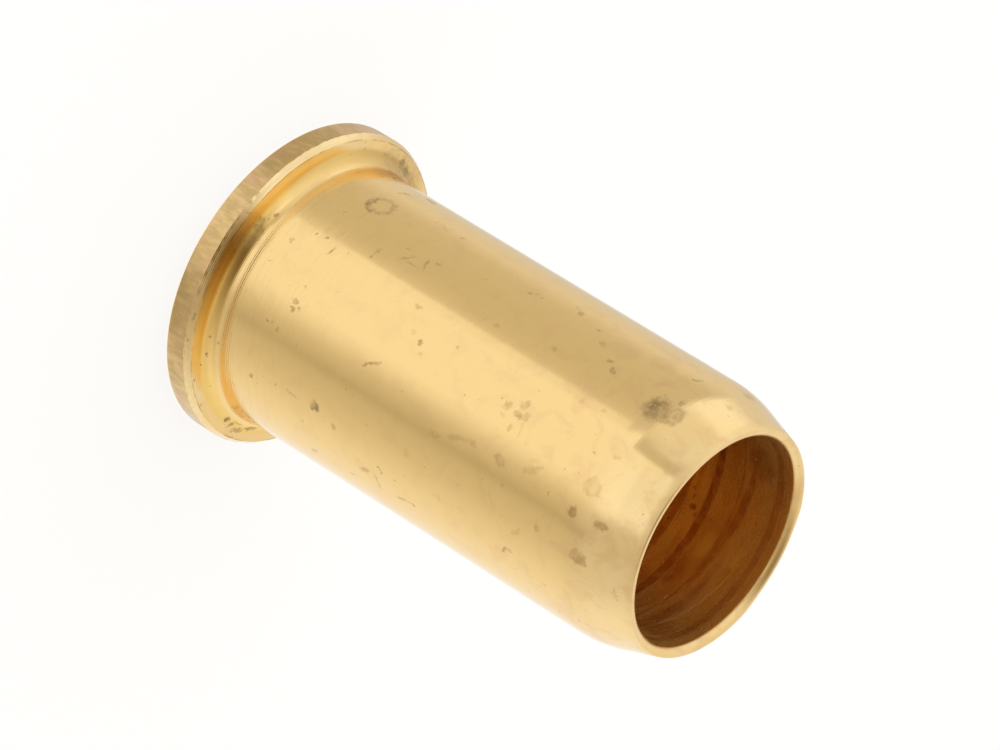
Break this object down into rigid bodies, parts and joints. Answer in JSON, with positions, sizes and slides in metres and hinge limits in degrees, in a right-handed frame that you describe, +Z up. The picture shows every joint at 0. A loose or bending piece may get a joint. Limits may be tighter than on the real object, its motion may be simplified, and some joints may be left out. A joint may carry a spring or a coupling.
{
  "type": "pipe insert",
  "caption": "Turned brass liner for the end of a soft pipe: a plain tube with a flange at one end, a tapered nose at the other and a bore right through.",
  "frame": {"origin": "centre of the flange's back face, which is the bottom of the part as it stands", "axes": "+Z runs up along the tube, from the flange to the tapered nose; X and Y are alike, as the part is turned"},
  "size_m": [0.0096, 0.0096, 0.0162],
  "materials": {
    "brass": "turned, lightly stained brass, darker inside the bore"
  },
  "bodies": {
    "root": {"insert": "brass"}
  },
  "joints": []
}
